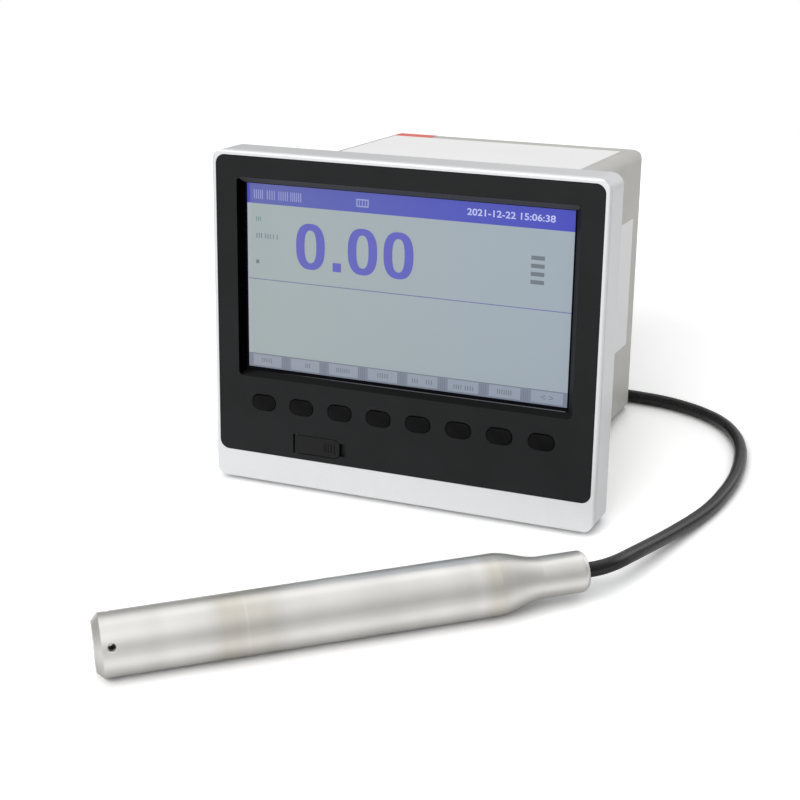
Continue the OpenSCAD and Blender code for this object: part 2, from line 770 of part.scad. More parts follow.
module rear_panel() {
    z = [io_z[0] + io_t, io_z[1] + io_t];
    color(case_colour) on_display() difference() {
        plate(case_w - 9.4, case_h - 9.4, 2.9, case_back - panel_t, case_back, 0, case_zc);
        for (x = [-1, 1]) block_hole(x*block_x, z[1], block_w);
        block_hole(block_low_x, z[0], block_w);
        block_hole(power_x, z[0], power_w);
        for (i = [0:9])
            plate(3, 16, 1.49, case_back - panel_t - cut, case_back + cut,
                (i - 4.5)*9, case_zc + 0.35*case_h);
        corners() peg(0, 0, 2.8, case_back - panel_t - cut, case_back + cut);
    }
}

module block_hole(x, z, w) {
    bar(x - w/2 - 0.2, x + w/2 + 0.2, case_back - panel_t - cut, case_back + cut,
        z - 0.2, z + block_h + 0.2);
}

module rear_screws() {
    color(steel_colour) on_display() corners()
        screw(0, 0, 2.15, case_back - rear_lip + 1, case_back, 4.6, 1.5);
}

// Terminal block: stepped body, square wire entries at the rear and screw wells on top
module terminal_block(xc, z, n, pitch, w) {
    on_display() difference() {
        translate([xc - w/2, 0, z]) along_x() linear_extrude(w)
            polygon([[block_y0, 0], [block_y1, 0], [block_y1, block_step], [block_y1 - 2, block_h],
                [block_y0, block_h]]);
        for (i = [0:n - 1]) {
            x = xc + (i - (n - 1)/2)*pitch;
            plate(entry_size, entry_size, 0.4, block_y1 - entry_l, block_y1 + cut, x, z + entry_z);
            translate([x, well_y, z + well_z]) cylinder(d = well_d, h = block_h);
        }
    }
}

module signal_block(x, i) {
    color([0.15, 0.45, 0.25]) terminal_block(x, io_z[i] + io_t, ways, way_pitch, block_w);
}

module terminals_upper_left() { signal_block(-block_x, 1); }
module terminals_upper_right() { signal_block(block_x, 1); }
module terminals_lower() { signal_block(block_low_x, 0); }
module terminals_power() {
    color([0.12, 0.12, 0.12]) terminal_block(power_x, io_z[0] + io_t, power_ways, power_pitch, power_w);
}

module way_screws(xc, z, n, pitch) {
    on_display() for (i = [0:n - 1])
        translate([xc + (i - (n - 1)/2)*pitch, well_y, z + well_z]) difference() {
            cylinder(d = well_d - 0.4, h = 4);
            translate([0, 0, 4]) cube([well_d, 0.6, 1.4], center = true);
        }
}

module terminal_screws() {
    color(steel_colour) {
        for (x = [-1, 1]) way_screws(x*block_x, io_z[1] + io_t, ways, way_pitch);
        way_screws(block_low_x, io_z[0] + io_t, ways, way_pitch);
        way_screws(power_x, io_z[0] + io_t, power_ways, power_pitch);
    }
}

module top_label() {
    color([0.95, 0.95, 0.95]) on_display()
        bar(7 - case_w/2, case_w/2 - 8.1, frame_d + 3, case_back - seal_l - 0.5,
            case_z1, case_z1 + label_t);
}

module side_label() {
    color([0.93, 0.93, 0.93]) on_display()
        bar(case_w/2, case_w/2 + label_t, frame_d + 40, case_back - 14, case_z + 38, case_z1 - 32.5);
}

// Seal that folds over the case's top rear edge
module edge_seal() {
    x0 = case_edge_r - case_w/2;
    color([0.85, 0.2, 0.18]) on_display() intersection() {
        difference() {
            soft_block(case_w + 2*label_t, case_h + 2*label_t, case_edge_r, 0, case_back + label_t,
                case_z - label_t, 0.5, case_rear_r + label_t);
            soft_block(case_w, case_h, case_edge_r, -cut, case_back, case_z, 0.5, case_rear_r);
        }
        bar(x0, x0 + seal_w, case_back - seal_l, case_back + cut, case_z1 - seal_drop, case_z1 + cut);
    }
}

// Solid of revolution along the probe's axis, from an outline in x and radius
module turned() {
    rotate([0, 90, 0]) rotate_extrude($fn = 96) rotate([0, 0, 90]) mirror([0, 1, 0]) children();
}

module probe_nose() {
    seat_x = front_wall + chamber_l;
    seat_r = capsule_d/2 + capsule_gap;
    end_x = nose_l + spigot_l;
    color(steel_colour) on_probe() difference() {
        turned() polygon([
            [0, 0], [0, nose_r], [nose_chamfer, probe_r], [nose_l, probe_r], [nose_l, spigot_r],
            [end_x, spigot_r], [end_x, seat_r], [seat_x, seat_r], [seat_x, chamber_d/2],
            [front_wall, chamber_d/2], [front_wall, 0]
        ]);
        for (k = [0:3]) rotate([-port_angle - 90*k, 0, 0]) translate([port_x, 0, 0]) rotate([90, 0, 0]) {
            cylinder(d = port_d, h = probe_r + cut);
            translate([0, 0, probe_r - port_sink])
                cylinder(d1 = port_d, d2 = port_d + 2*(port_sink + 0.3), h = port_sink + 0.3);
        }
    }
}

module sensor_capsule() {
    x0 = front_wall + chamber_l;
    color(steel_colour) on_probe() turned() difference() {
        translate([x0, 0]) square([capsule_l, capsule_d/2]);
        translate([x0 - cut, -eps]) square([cut + 0.8, capsule_d/2 - 3]);
        translate([x0 + 5, capsule_d/2 - oring_t + 0.1]) square([2.4, oring_t + cut]);
        translate([x0 + capsule_l - 4, -eps]) square([4 + cut, capsule_d/2 - 2]);
    }
}

module sensor_oring() {
    x0 = front_wall + chamber_l;
    color([0.1, 0.1, 0.1]) on_probe() turned()
        translate([x0 + 6.2, capsule_d/2 - oring_t/2 + capsule_gap]) circle(oring_t/2 - 0.02, $fn = 24);
}

module probe_tube() {
    color(steel_colour) on_probe() turned()
        translate([nose_l, bore_r]) square([tail_x - nose_l, tube_wall]);
}

module probe_board() {
    w = 2*bore_r - 0.8;
    color(board_colour) on_probe() {
        bar(nose_l + spigot_l + 4, tail_x - spigot_l - 6, -w/2, w/2, -0.8, 0.8);
        for (x = [0:3]) bar(nose_l + 18 + 15*x, nose_l + 27 + 15*x, -4, 4, 0.8 - eps, 2.6);
    }
}

function ease(t) = (1 - cos(180*t))/2;

// Tail with a smooth taper from the body to the neck
module probe_tail() {
    taper = [for (i = [0:taper_steps]) let (t = i/taper_steps)
        [taper_x0 + taper_l*t, probe_r + (neck_r - probe_r)*(0.35*t + 0.65*ease(t))]];
    bush_r = bush_d/2 + 0.05;
    hollow_r = bore_r - 3;
    color(steel_colour) on_probe() turned() difference() {
        polygon(concat(
            [[tail_x - spigot_l, hollow_r], [tail_x - spigot_l, spigot_r], [tail_x, spigot_r],
                [tail_x, probe_r]],
            taper,
            [[probe_l, neck_r], [probe_l, mouth_d/2], [probe_l - mouth_l, mouth_d/2],
                [probe_l - mouth_l, bush_r], [taper_x0, bush_r], [taper_x0, hollow_r]]));
        difference() {
            translate([probe_l - neck_round, neck_r - neck_round]) square(neck_round + cut);
            translate([probe_l - neck_round, neck_r - neck_round]) circle(neck_round);
        }
    }
}

module cable_bush() {
    color([0.1, 0.1, 0.1]) on_probe() turned() difference() {
        translate([probe_l - mouth_l - bush_l, 0]) square([bush_l, bush_d/2]);
        translate([0, -eps]) square([probe_l - mouth_l - 4, cable_r - 0.4]);
    }
}

function unit(v) = v/norm(v);
function tangent(p, i) = unit(p[min(i + 1, len(p) - 1)] - p[max(i - 1, 0)]);
function ring(p, i, r, n) = let (t = tangent(p, i), s = unit(cross(t, [0, 0, 1])), u = cross(s, t))
    [for (k = [0:n - 1]) p[i] + r*(cos(360*k/n)*s + sin(360*k/n)*u)];

// Plain round tube swept along a list of points
module swept(p, r, n) {
    last = (len(p) - 1)*n;
    polyhedron(
        points = [for (i = [0:len(p) - 1]) each ring(p, i, r, n)],
        faces = concat(
            [[for (k = [0:n - 1]) k]],
            [for (i = [0:len(p) - 2], k = [0:n - 1])
                [i*n + k, (i + 1)*n + k, (i + 1)*n + (k + 1)%n, i*n + (k + 1)%n]],
            [[for (k = [n - 1:-1:0]) last + k]]));
}

module cable_run() { color(black_colour) swept(run_points, cable_r, 10); }
module cable_lead() { color(black_colour) swept(lead_points, cable_r, 10); }
module cable_cores() { color([0.6, 0.1, 0.1]) for (p = core_points) swept(p, core_r, 8); }

module cable_coil() {
    h = (coil_layers - 1)*coil_pitch + cable_d;
    color(black_colour) translate([coil_c[0], coil_c[1], coil_z]) rotate_extrude($fn = 64)
        translate([coil_turn_r[0] - cable_r, 0]) square([coil_turn_r[1] - coil_turn_r[0] + cable_d, h]);
}

// Flat tie round the coil's section
module coil_tie() {
    w = coil_turn_r[1] - coil_turn_r[0] + cable_d + 2*tie_gap;
    h = (coil_layers - 1)*coil_pitch + cable_d + 2*tie_gap;
    zc = coil_z - tie_gap + h/2;
    xc = coil_c[0] - (coil_turn_r[0] + coil_turn_r[1])/2;
    color([0.12, 0.12, 0.12]) translate([0, coil_c[1], 0]) {
        difference() {
            plate(w + 2*tie_t, h + 2*tie_t, 1.6, -tie_w/2, tie_w/2, xc, zc);
            plate(w, h, 0.5, -tie_w/2 - cut, tie_w/2 + cut, xc, zc);
        }
        plate(8, 4, 0.8, -tie_w/2 - 0.8, tie_w/2 + 0.8, xc + 6, zc + h/2 + tie_t + 2 - eps);
    }
}

bezel_frame();
face_panel();
lcd_frame();
lcd_panel();
lcd_backlight();
lcd_bracket();
lcd_screws();
key_1();
key_2();
key_3();
key_4();
key_5();
key_6();
key_7();
key_8();
key_board();
board_screws();
usb_door();
usb_door_pin();
usb_socket();
frame_gasket();
case_shell();
case_screws();
main_board();
board_lower();
board_upper();
power_module();
rear_panel();
rear_screws();
terminals_upper_left();
terminals_upper_right();
terminals_lower();
terminals_power();
terminal_screws();
top_label();
side_label();
edge_seal();
probe_nose();
sensor_capsule();
sensor_oring();
probe_tube();
probe_board();
probe_tail();
cable_bush();
cable_run();
cable_coil();
cable_lead();
cable_cores();
coil_tie();
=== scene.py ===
import math

import bpy
from mathutils import Matrix, Vector


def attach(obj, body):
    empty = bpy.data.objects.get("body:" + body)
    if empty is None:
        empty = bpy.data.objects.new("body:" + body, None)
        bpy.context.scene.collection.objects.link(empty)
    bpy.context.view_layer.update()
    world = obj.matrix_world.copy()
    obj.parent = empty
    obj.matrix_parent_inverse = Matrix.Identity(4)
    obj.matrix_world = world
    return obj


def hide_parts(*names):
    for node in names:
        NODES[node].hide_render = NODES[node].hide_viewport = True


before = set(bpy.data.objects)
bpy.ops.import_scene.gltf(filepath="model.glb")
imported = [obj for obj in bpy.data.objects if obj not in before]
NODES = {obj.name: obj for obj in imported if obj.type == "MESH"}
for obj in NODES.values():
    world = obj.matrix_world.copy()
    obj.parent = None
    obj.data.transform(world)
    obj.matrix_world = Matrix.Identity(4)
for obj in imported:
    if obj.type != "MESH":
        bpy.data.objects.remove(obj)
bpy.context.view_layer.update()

SCENE = bpy.context.scene


# Places

# Sizes of the display in millimetres, as in part.scad
FRAME_D = 20.0
FRAME_REAR_R = 0.8
CASE_Z = 13.0
CASE_BACK = 148.0
CASE_REAR_R = 4.0

# The part's origin on the floor, in millimetres from the middle of the frame's bottom front edge
ORIGIN = (8.036, -6.073)


def fit_lean():
    """Lean of the display and its lift over the floor. It rests on the rounded lower rear edges of
    its frame and of its case."""
    front = (FRAME_D - FRAME_REAR_R, FRAME_REAR_R)
    rear = (CASE_BACK - CASE_REAR_R, CASE_Z + CASE_REAR_R)
    dy, dz = rear[0] - front[0], rear[1] - front[1]
    lean = math.atan2(dz, dy) - math.asin((CASE_REAR_R - FRAME_REAR_R) / math.hypot(dy, dz))
    lift = front[0] * math.sin(lean) - front[1] * math.cos(lean) + FRAME_REAR_R
    return lean, lift


LEAN, LIFT = fit_lean()


def disp(x, y, z):
    """Place in the part, in metres, of a point of the display. The point is given in millimetres
    from the middle of the frame's bottom front edge, before the display leans back."""
    wy = y * math.cos(LEAN) + z * math.sin(LEAN) - ORIGIN[1]
    wz = LIFT - y * math.sin(LEAN) + z * math.cos(LEAN)
    return Vector(((x - ORIGIN[0]) / 1000, wy / 1000, wz / 1000))


def disp_way(x, y, z):
    """Unit vector in the part of a direction of the display."""
    return disp(x, y, z) * 1000 - disp(0, 0, 0) * 1000


# Camera

CAMERA_PLACE = (0.2606, -0.5954, 0.3212)
CAMERA_FORWARD = (-0.3738, 0.8471, -0.3777)
CAMERA_RIGHT = (0.9188, 0.3938, -0.026)
SENSOR_WIDTH = 36
FOCAL_LENGTH = 72.06


def add_camera():
    """Camera at the photograph's viewing angle."""
    data = bpy.data.cameras.new("camera")
    data.sensor_width = SENSOR_WIDTH
    data.lens = FOCAL_LENGTH
    data.clip_start = 0.01
    camera = bpy.data.objects.new("camera", data)
    SCENE.collection.objects.link(camera)
    forward = Vector(CAMERA_FORWARD).normalized()
    right = Vector(CAMERA_RIGHT)
    right = (right - forward * right.dot(forward)).normalized()
    up = right.cross(forward)
    turn = Matrix((right, up, -forward)).transposed().to_4x4()
    camera.matrix_world = Matrix.Translation(CAMERA_PLACE) @ turn
    SCENE.camera = camera


add_camera()


# Materials

# How far a noise strays from one half, and how far a broad one of few details does
REACH = 0.2
BROAD_REACH = 0.15


class Nodes:
    """Builds the nodes of one material."""

    def __init__(self, name):
        self.material = bpy.data.materials.new(name)
        self.material.use_nodes = True
        self.tree = self.material.node_tree
        self.shader = self.tree.nodes["Principled BSDF"]
        self.spot = None

    def new(self, kind, **values):
        node = self.tree.nodes.new(kind)
        for key, value in values.items():
            setattr(node, key, value)
        return node

    def link(self, a, b):
        self.tree.links.new(a, b)

    def set(self, **values):
        """Fixed values of the shader's sockets, with _ for each space in a name."""
        for key, value in values.items():
            self.shader.inputs[key.replace("_", " ")].default_value = value

    def to(self, source, socket):
        self.link(source, self.shader.inputs[socket])

    def where(self):
        if self.spot is None:
            self.spot = self.new("ShaderNodeTexCoord").outputs["Object"]
        return self.spot

    def along(self, start, direction):
        """Distance in millimetres from a point along a direction."""
        move = self.new("ShaderNodeVectorMath", operation="SUBTRACT")
        self.link(self.where(), move.inputs[0])
        move.inputs[1].default_value = start
        dot = self.new("ShaderNodeVectorMath", operation="DOT_PRODUCT")
        self.link(move.outputs[0], dot.inputs[0])
        dot.inputs[1].default_value = Vector(direction) * 1000
        return dot.outputs["Value"]

    def noise(self, scale, detail=2.0, rough=0.5, distance=None):
        """Noise in space, or along one distance only."""
        dims = "3D" if distance is None else "1D"
        node = self.new("ShaderNodeTexNoise", noise_dimensions=dims)
        node.inputs["Scale"].default_value = scale
        node.inputs["Detail"].default_value = detail
        node.inputs["Roughness"].default_value = rough
        if distance is None:
            self.link(self.where(), node.inputs["Vector"])
        else:
            self.link(distance, node.inputs["W"])
        return node.outputs["Fac"]

    def span(self, source, low, high, to_low, to_high):
        node = self.new("ShaderNodeMapRange")
        self.link(source, node.inputs["Value"])
        values = {"From Min": low, "From Max": high, "To Min": to_low, "To Max": to_high}
        for key, value in values.items():
            node.inputs[key].default_value = value
        return node.outputs["Result"]

    def vary(self, noise, to_low, to_high, reach=REACH):
        """Value that follows a noise from one end of its reach to the other."""
        return self.span(noise, 0.5 - reach, 0.5 + reach, to_low, to_high)

    def math(self, kind, a, b):
        node = self.new("ShaderNodeMath", operation=kind)
        for socket, value in zip(node.inputs, (a, b)):
            if isinstance(value, (int, float)):
                socket.default_value = value
            else:
                self.link(value, socket)
        return node.outputs[0]

    def mix(self, fac, a, b):
        """Colour between a and b; each is a colour or a node's output."""
        node = self.new("ShaderNodeMix", data_type="RGBA")
        self.link(fac, node.inputs[0])
        for socket, value in zip((node.inputs[6], node.inputs[7]), (a, b)):
            if isinstance(value, tuple):
                socket.default_value = (*value, 1)
            else:
                self.link(value, socket)
        return node.outputs[2]

    def bump(self, height, distance, strength=1.0):
        """Bump on top of any bump that is there."""
        node = self.new("ShaderNodeBump")
        node.inputs["Strength"].default_value = strength
        node.inputs["Distance"].default_value = distance
        self.link(height, node.inputs["Height"])
        last = self.shader.inputs["Normal"]
        if last.is_linked:
            self.link(last.links[0].from_socket, node.inputs["Normal"])
        self.link(node.outputs["Normal"], last)


def shaded(colour, share):
    return tuple(c * share for c in colour)


def moulded(name, colour, rough, grain=2600, depth=0.00001, uneven=0.08, **more):
    """Moulded plastic with a fine grain and slightly uneven colour and gloss."""
    m = Nodes(name)
    fine = m.noise(grain, 3)
    broad = m.noise(45, 2)
    low, high = shaded(colour, 1 - uneven), shaded(colour, 1 + uneven)
    m.to(m.mix(m.vary(broad, 0, 1, BROAD_REACH), low, high), "Base Color")
    m.to(m.vary(fine, rough - 0.05, rough + 0.06), "Roughness")
    m.bump(fine, depth)
    m.set(**more)
    return m.material


def painted_silver():
    """Silver paint with a fine flake."""
    m = Nodes("silver_paint")
    flake = m.noise(5200, 1)
    broad = m.noise(30, 2)
    tone = m.mix(m.vary(flake, 0, 1), (0.70, 0.705, 0.715), (0.78, 0.785, 0.795))
    m.to(m.mix(m.vary(broad, 0, 0.12), tone, (0.72, 0.72, 0.72)), "Base Color")
    m.to(m.vary(flake, 0.34, 0.46), "Roughness")
    m.bump(flake, 0.000006)
    m.set(Metallic=0.25)
    return m.material


def face_plastic():
    """Black face: satin in front. Round the window, the slope below the picture is polished and
    painted darker as painted shade, the left one is painted black and made to mirror nothing as
    painted shade, and the one above is painted lighter as painted light from the screen."""
    m = Nodes("face_black")
    fine = m.noise(3200, 3)
    broad = m.noise(40, 2)
    depth = m.along(disp(0, 0, 0), disp_way(0, 1, 0))
    height = m.along(disp(0, 0, 0), disp_way(0, 0, 1))
    behind_face = m.span(depth, 0.04, 0.12, 0, 1)
    over_keys = m.span(height, 45, 46, 0, 1)
    window = m.math("MULTIPLY", behind_face, over_keys)
    facing = m.new("ShaderNodeSeparateXYZ")
    m.link(m.new("ShaderNodeNewGeometry").outputs["True Normal"], facing.inputs[0])
    # Painted shade: the slopes that face left are painted black and made metallic, so they mirror
    # nothing.
    left = m.math("MULTIPLY", window, m.span(facing.outputs["X"], 0.3, 0.5, 0, 1))
    # Painted shade: the slope that faces up is painted darker; its lower roughness further down is
    # real polish.
    below = m.math("MULTIPLY", window, m.span(facing.outputs["Z"], 0.2, 0.4, 0, 1))
    # Painted light: the slope that faces down is painted lighter for the screen's light, though
    # the screen is no lamp.
    above = m.math("MULTIPLY", window, m.span(facing.outputs["Z"], -0.2, -0.4, 0, 1))
    skin = m.mix(m.vary(broad, 0, 1, BROAD_REACH), (0.0085, 0.0090, 0.0096),
                 (0.0105, 0.0110, 0.0118))
    # Painted shade: near-black colour on the slopes that face left and up.
    skin = m.mix(m.math("MAXIMUM", left, below), skin, (0.0012, 0.0013, 0.0015))
    # Painted light: lighter grey on the slope that faces down.
    m.to(m.mix(above, skin, (0.050, 0.052, 0.052)), "Base Color")
    satin = m.vary(fine, 0.42, 0.50)
    m.to(m.math("SUBTRACT", satin, m.math("MULTIPLY", below, 0.28)), "Roughness")
    m.bump(fine, 0.00001, 0.8)
    # Painted shade: with its near-black colour, the metallic left slope mirrors nothing.
    m.to(left, "Metallic")
    m.set(Specular_IOR_Level=0.19)
    return m.material


# The probe's axis, from the tip of its nose
HEADING = math.radians(38.2)
NOSE = (-0.057036, -0.165927, 0.0125)
AXIS = (math.cos(HEADING), math.sin(HEADING), 0.0)

# Bands round the probe: distance from the nose and half the width in millimetres, strength, tint
WELD_BROWN = (0.50, 0.45, 0.34)
SEAM_PALE = (0.86, 0.85, 0.80)
BANDS = (
    (50.5, 9.0, 0.42, WELD_BROWN),
    (62.5, 10.0, 0.36, WELD_BROWN),
    (156.0, 7.0, 0.40, WELD_BROWN),
    (57.0, 0.8, 0.2, SEAM_PALE),
)


def turned_steel():
    """Satin stainless steel: fine turning marks round the probe's axis, and bands at its welds."""
    m = Nodes("turned_steel")
    distance = m.along(NOSE, AXIS)
    marks = m.noise(14.0, 3, 0.6, distance)
    lengths = m.noise(0.05, 1, 0.5, distance)
    cloud = m.noise(35, 3)
    base = m.mix(m.vary(lengths, 0, 1, BROAD_REACH), (0.73, 0.72, 0.695), (0.80, 0.79, 0.765))
    base = m.mix(m.vary(marks, 0, 0.06), base, (0.55, 0.54, 0.52))
    for middle, half, strength, tint in BANDS:
        away = m.math("ABSOLUTE", m.math("SUBTRACT", distance, middle), 0)
        fade = m.span(away, 0.3 * half, half, strength, 0)
        ring = m.math("MULTIPLY", fade, m.vary(cloud, 0.5, 1.2))
        base = m.mix(ring, base, tint)
    m.to(base, "Base Color")
    m.to(m.math("ADD", m.vary(marks, 0.30, 0.35), m.vary(cloud, 0, 0.06)), "Roughness")
    m.bump(marks, 0.000004)
    m.set(Metallic=0.8)
    return m.material


def sheet_metal(name, colour, rough=0.3, scale=900):
    m = Nodes(name)
    cloud = m.noise(120, 3)
    fine = m.noise(scale, 3)
    m.to(m.mix(m.vary(cloud, 0, 0.3), colour, shaded(colour, 0.75)), "Base Color")
    m.to(m.vary(fine, rough - 0.06, rough + 0.1), "Roughness")
    m.bump(fine, 0.000008)
    m.set(Metallic=1.0)
    return m.material


def circuit_board():
    """Green board with the raised lines of its tracks."""
    m = Nodes("board_green")
    lines = m.new("ShaderNodeTexBrick")
    m.link(m.where(), lines.inputs["Vector"])
    lines.inputs["Scale"].default_value = 120
    lines.inputs["Mortar Size"].default_value = 0.03
    m.to(m.mix(lines.outputs["Fac"], (0.02, 0.13, 0.06), (0.05, 0.24, 0.1)), "Base Color")
    m.to(m.vary(m.noise(500), 0.3, 0.45), "Roughness")
    m.bump(lines.outputs["Fac"], 0.00002)
    return m.material


def paper_film(name, colour):
    m = Nodes(name)
    fibre = m.noise(1400, 4)
    cloud = m.noise(25, 2)
    m.to(m.mix(m.vary(cloud, 0, 0.5), colour, shaded(colour, 0.95)), "Base Color")
    m.to(m.vary(fibre, 0.65, 0.8), "Roughness")
    m.bump(fibre, 0.000006)
    m.set(Specular_IOR_Level=0.1)
    return m.material


def cable_skin():
    """Smooth black sheath that is slightly wavy."""
    m = Nodes("cable_skin")
    fine = m.noise(3000, 3)
    broad = m.noise(140, 2)
    m.to(m.mix(m.vary(broad, 0, 1, BROAD_REACH), (0.004, 0.004, 0.0045), (0.007, 0.007, 0.0075)),
         "Base Color")
    m.to(m.vary(fine, 0.24, 0.31), "Roughness")
    m.bump(fine, 0.000006)
    m.bump(broad, 0.00003, 0.5)
    m.set(Specular_IOR_Level=0.42)
    return m.material


def screen_film(name, colour, right=None, gloss=0.3):
    """Part of the screen's picture under its anti-glare film, with its colour at the left end of
    the screen and, where it differs, at the right."""
    m = Nodes(name)
    fine = m.noise(4000, 1)
    broad = m.noise(9, 1)
    across = m.along(disp(-77, 3.4, 97), disp_way(1, 0, 0))
    tone = m.mix(m.span(across, 0, 154, 0, 1), colour, right or colour)
    m.to(m.mix(m.vary(broad, 0, 0.05), tone, shaded(colour, 0.9)), "Base Color")
    m.to(m.vary(fine, 0.34, 0.44), "Roughness")
    m.bump(fine, 0.000002)
    m.set(Specular_IOR_Level=gloss)
    return m.material


SILVER = painted_silver()
BLACK = face_plastic()
KEY = moulded("key_black", (0.0022, 0.0023, 0.0025), 0.38, 2400, 0.000005,
              Specular_IOR_Level=0.10)
DOOR = moulded("door_black", (0.0080, 0.0080, 0.0085), 0.45, 3200, 0.00001,
               Specular_IOR_Level=0.20)
CASE = moulded("case_grey", (0.55, 0.545, 0.52), 0.5, 1800, 0.00002, 0.03)
BACK = moulded("panel_grey", (0.53, 0.525, 0.50), 0.48, 1800, 0.00002, 0.03)
STEEL = turned_steel()
SHEET = sheet_metal("sheet_metal", (0.55, 0.55, 0.53))
SCREW = sheet_metal("screw_metal", (0.62, 0.61, 0.58), 0.25, 2000)
MODULE = sheet_metal("module_metal", (0.6, 0.6, 0.58), 0.4)
BOARD = circuit_board()
WHITE = moulded("white_plastic", (0.75, 0.75, 0.72), 0.5)
RUBBER = moulded("black_rubber", (0.012, 0.012, 0.012), 0.6, 1500, 0.00003)
GREEN = moulded("terminal_green", (0.03, 0.24, 0.09), 0.42, 2000)
DARK = moulded("terminal_black", (0.015, 0.015, 0.015), 0.45, 2000)
LABEL = paper_film("label_film", (0.90, 0.90, 0.90))
SEAL = paper_film("seal_film", (0.78, 0.20, 0.18))
CABLE = cable_skin()
CORES = moulded("core_red", (0.45, 0.02, 0.015), 0.4)
GLASS = screen_film("screen_glass", (0.0015, 0.0016, 0.0030), gloss=0.04)
# Painted highlight: grey metal for the strip on the window's lower edge, not the face's own finish
EDGE_HIGHLIGHT = sheet_metal("painted_edge_highlight", (0.16, 0.165, 0.18), 0.2)

# Every node but the eight keys, which are KEY
LOOKS = {
    "bezel_frame": SILVER, "face_panel": BLACK, "frame_gasket": RUBBER,
    "usb_door": DOOR, "usb_door_pin": SCREW, "usb_socket": SHEET,
    "lcd_frame": SHEET, "lcd_panel": GLASS, "lcd_backlight": WHITE, "lcd_bracket": SHEET,
    "lcd_screws": SCREW, "key_board": BOARD, "board_screws": SCREW,
    "case_shell": CASE, "case_screws": SCREW, "rear_panel": BACK, "rear_screws": SCREW,
    "main_board": BOARD, "board_lower": BOARD, "board_upper": BOARD, "power_module": MODULE,
    "terminals_upper_left": GREEN, "terminals_upper_right": GREEN, "terminals_lower": GREEN,
    "terminals_power": DARK, "terminal_screws": SCREW,
    "top_label": LABEL, "side_label": LABEL, "edge_seal": SEAL,
    "probe_nose": STEEL, "probe_tube": STEEL, "probe_tail": STEEL, "probe_board": BOARD,
    "sensor_capsule": STEEL, "sensor_oring": RUBBER, "cable_bush": RUBBER,
    "cable_run": CABLE, "cable_coil": CABLE, "cable_lead": CABLE, "cable_cores": CORES,
    "coil_tie": DARK,
}
for name, node in NODES.items():
    look = LOOKS.get(name, KEY)
    for i in range(len(node.data.materials)):
        node.data.materials[i] = look
    if not node.data.materials:
        node.data.materials.append(look)


# Cable

# From the probe's tail over the floor to the coil, in millimetres
RUN = [
    (92.3, -48.4, 12.5), (97, -44.7, 12.5), (101.8, -39.8, 12.2), (105.9, -32, 11.4),
    (109.3, -20, 9.7), (112.6, -7.5, 7.9), (116.2, 6, 6.1), (120, 20, 4.7), (123.8, 34, 3.7),
    (127, 48, 3.2), (129, 62, 3.2), (130, 76, 3.2), (129.6, 90, 3.2), (128, 104, 3.2),
    (124.8, 118, 3.2), (119.4, 131, 3.2), (111.4, 142.6, 3.2), (100.6, 151.6, 3.2),
    (88, 158, 3.2), (74.6, 162, 3.2), (61, 163.6, 3.2), (47, 164.8, 3.2), (33, 167.4, 3.2),
    (19, 170.6, 3.2), (5, 174, 3.2), (-9, 177.6, 3.2), (-22, 181.6, 3.6),
]

# From the coil to the terminals
LEAD = [(16.1, 222, 23.6), (16.1, 211, 23.5), (16.1, 195, 22.2), (16, 179.5, 18.4)]

COIL_CENTRE = (-34, 233.5)
COIL_RADII = (24.5, 30.9, 37.3, 43.7, 50.1)
COIL_Z = 4.45
LAYER_PITCH = 6.4
TURNS = 19.75
TURN_STEPS = 16
TURN_BLEND = 0.86


def blend_over(t, a, b):
    """a, until it goes smoothly over into b in the last part of a turn."""
    u = max(0.0, (t - TURN_BLEND) / (1 - TURN_BLEND))
    return a + (b - a) * u * u * (3 - 2 * u)


def coil_place(turn):
    """Radius and height of a turn. Each layer winds back over the one below it."""
    rings = len(COIL_RADII)
    layer, ring = divmod(min(turn, int(TURNS)), rings)
    return COIL_RADII[ring if layer % 2 else rings - 1 - ring], COIL_Z + LAYER_PITCH * layer


def coil_points():
    points = []
    for i in range(round(TURNS * TURN_STEPS) + 1):
        turns = i / TURN_STEPS
        whole = int(turns)
        (r0, z0), (r1, z1) = coil_place(whole), coil_place(whole + 1)
        r = blend_over(turns - whole, r0, r1)
        z = blend_over(turns - whole, z0, z1)
        angle = -math.pi / 2 - 2 * math.pi * turns
        points.append((COIL_CENTRE[0] + r * math.cos(angle),
                       COIL_CENTRE[1] + r * math.sin(angle), z))
    return points


def tube_curve(name, points, diameter, material):
    """Round tube along a smooth curve, from points in millimetres."""
    data = bpy.data.curves.new(name, "CURVE")
    data.dimensions = "3D"
    data.bevel_depth = diameter / 2
    data.bevel_resolution = 4
    data.resolution_u = 4
    data.use_fill_caps = True
    spline = data.splines.new("BEZIER")
    spline.bezier_points.add(len(points) - 1)
    for place, point in zip(spline.bezier_points, points):
        place.co = Vector(point) / 1000
        place.handle_left_type = place.handle_right_type = "AUTO"
    data.materials.append(material)
    piece = bpy.data.objects.new(name, data)
    SCENE.collection.objects.link(piece)
    return piece


cable = tube_curve("cable", RUN + coil_points() + LEAD, 0.0063, CABLE)
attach(cable, "meter")
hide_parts("cable_run", "cable_coil", "cable_lead")


# Screen: its picture is drawn in millimetres from its lower left corner

SCREEN_W, SCREEN_H = 154.08, 85.92
SCREEN_X = 0.5 - SCREEN_W / 2
SCREEN_Y = 3.37
SCREEN_Z = 97.3 - SCREEN_H / 2


def screen_point(x, z, lift=0.0):
    return disp(SCREEN_X + x, SCREEN_Y - lift, SCREEN_Z + z)


def add_piece(name, mesh):
    piece = bpy.data.objects.new(name, mesh)
    SCENE.collection.objects.link(piece)
    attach(piece, "meter")


def mesh_piece(name, vertices, faces, material):
    data = bpy.data.meshes.new(name)
    data.from_pydata([tuple(v) for v in vertices], [], faces)
    data.materials.append(material)
    add_piece(name, data)


